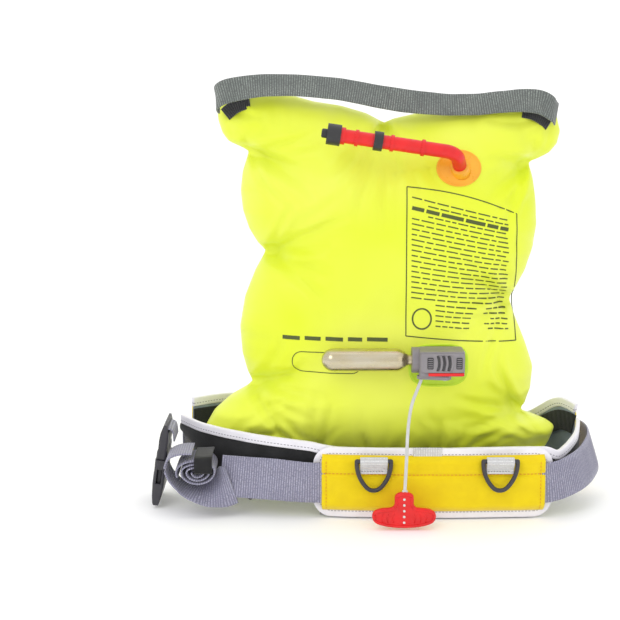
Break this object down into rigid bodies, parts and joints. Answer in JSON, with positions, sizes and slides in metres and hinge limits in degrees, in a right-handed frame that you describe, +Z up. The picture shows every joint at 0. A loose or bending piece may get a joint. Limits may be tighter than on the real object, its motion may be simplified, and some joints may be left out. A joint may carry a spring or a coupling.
{
  "type": "inflatable belt pack life jacket",
  "caption": "Inflated pillow-shaped life jacket bladder on an opened waist pouch, with a belt, side-release buckle, gas inflator with pull cord, oral inflation tube and neck strap.",
  "frame": {"origin": "centre of the footprint, on the surface that the pouch stands on", "axes": "+X to the viewer's right along the belt, +Y away from the front face, +Z up along the bladder"},
  "size_m": [0.4297, 0.1845, 0.4032],
  "materials": {
    "bladder_fabric": "coated nylon taffeta, fluorescent yellow-green",
    "neck_webbing": "ribbed webbing",
    "belt_webbing": "ribbed nylon webbing",
    "white_binding": "folded binding tape with stitching",
    "black_fabric": "black padded fabric",
    "yellow_fabric": "yellow pack cloth",
    "grey_lining": "grey-blue lining cloth",
    "red_plastic": "moulded, glossy",
    "flange_orange": "translucent welded flange",
    "patch_lime": "welded patch",
    "black_plastic": "moulded",
    "grey_plastic": "moulded, fine grain",
    "dark_buckle": "moulded acetal",
    "zinc_steel": "zinc plated, pale gold",
    "pin_steel": "bare steel",
    "gasket_rubber": "rubber",
    "lanyard_cord": "braided cord",
    "dark_plate": "dark flexible patch"
  },
  "bodies": {
    "jacket": {"bladder": "bladder_fabric", "neck_strap": "neck_webbing", "neck_strap_end_left": "neck_webbing", "neck_strap_end_right": "neck_webbing", "oral_flange": "flange_orange", "oral_tube": "red_plastic", "tube_retainer_ring": "black_plastic", "valve_seat": "black_plastic", "inflator_patch": "patch_lime", "manifold_stem": "grey_plastic", "manifold_gasket": "gasket_rubber", "inflator_body": "grey_plastic", "inflator_cover": "grey_plastic", "status_strip": "red_plastic", "lever_pin": "pin_steel", "cylinder_gasket": "gasket_rubber", "back_panel": "black_fabric", "back_panel_binding": "white_binding", "sleeve_backing": "yellow_fabric", "sleeve_binding": "white_binding", "sleeve_face": "yellow_fabric", "d_ring_tab_left": "white_binding", "d_ring_tab_right": "white_binding", "belt_front": "belt_webbing", "belt_side": "belt_webbing", "belt_back": "belt_webbing", "webbing_roll": "belt_webbing", "webbing_lower_wrap": "belt_webbing", "webbing_upper_wrap": "belt_webbing", "webbing_keeper": "black_fabric", "webbing_slider": "black_plastic", "buckle_socket": "dark_buckle", "cover_panel": "yellow_fabric", "cover_lining": "grey_lining", "cover_binding": "white_binding", "hook_strip_left": "black_fabric", "hook_strip_right": "black_fabric", "cover_patch": "dark_plate"},
    "d_ring_left_ring": {"d_ring_left": "dark_buckle"},
    "d_ring_right_ring": {"d_ring_right": "dark_buckle"},
    "gas_cylinder_unit": {"gas_cylinder": "zinc_steel"},
    "lever_unit": {"pull_lever": "grey_plastic"},
    "pin_unit": {"piercing_pin": "pin_steel"},
    "pull_cord_unit": {"lanyard": "lanyard_cord", "pull_handle": "red_plastic"},
    "dust_cap_unit": {"dust_cap": "black_plastic"},
    "poppet_unit": {"valve_poppet": "black_plastic"},
    "plug_unit": {"buckle_plug": "dark_buckle", "belt_end_upper": "belt_webbing"},
    "prong_front_unit": {"buckle_prong_front": "dark_buckle"},
    "prong_rear_unit": {"buckle_prong_rear": "dark_buckle"}
  },
  "joints": [
    {"name": "d_ring_left_swing", "type": "hinge", "parent": "jacket", "child": "d_ring_left_ring", "pos_m": [-0.0075, -0.0794, 0.057], "axis": [-1, 0, 0], "range_deg": [0, 150]},
    {"name": "d_ring_right_swing", "type": "hinge", "parent": "jacket", "child": "d_ring_right_ring", "pos_m": [0.1075, -0.0794, 0.057], "axis": [-1, 0, 0], "range_deg": [0, 150]},
    {"name": "gas_cylinder_unscrew", "type": "slide", "parent": "jacket", "child": "gas_cylinder_unit", "axis": [-1, 0, 0], "range_m": [0, 0.015]},
    {"name": "lever_pull", "type": "hinge", "parent": "jacket", "child": "lever_unit", "pos_m": [0.056, -0.072, 0.134], "axis": [0, 0, 1], "range_deg": [0, 30]},
    {"name": "pin_stroke", "type": "slide", "parent": "jacket", "child": "pin_unit", "axis": [-1, 0, 0], "range_m": [0, 0.0062]},
    {"name": "cord_pull", "type": "slide", "parent": "jacket", "child": "pull_cord_unit", "axis": [0, -1, 0], "range_m": [0, 0.0108]},
    {"name": "dust_cap_pull", "type": "slide", "parent": "jacket", "child": "dust_cap_unit", "axis": [-0.9893, 0, 0.1457], "range_m": [0, 0.022]},
    {"name": "oral_valve_press", "type": "slide", "parent": "jacket", "child": "poppet_unit", "axis": [0.9893, 0, -0.1457], "range_m": [0, 0.003], "stiffness_N_per_m": 60, "springref_m": -0.002},
    {"name": "buckle_release", "type": "slide", "parent": "jacket", "child": "plug_unit", "axis": [0.1392, 0, 0.9903], "range_m": [0, 0.035]},
    {"name": "prong_front_squeeze", "type": "hinge", "parent": "plug_unit", "child": "prong_front_unit", "pos_m": [-0.20502, -0.0305, 0.04953], "axis": [0.9903, 0, -0.1392], "range_deg": [0, 6], "stiffness_Nm_per_rad": 0.05, "springref_deg": -2.86},
    {"name": "prong_rear_squeeze", "type": "hinge", "parent": "plug_unit", "child": "prong_rear_unit", "pos_m": [-0.20502, 0.0025, 0.04953], "axis": [-0.9903, 0, 0.1392], "range_deg": [0, 6], "stiffness_Nm_per_rad": 0.05, "springref_deg": -2.86}
  ],
  "couplings": [
    {"joint": "lever_pull", "follows": "cord_pull", "rad_per_m": 48.48},
    {"joint": "pin_stroke", "follows": "cord_pull", "ratio": 0.5555}
  ]
}
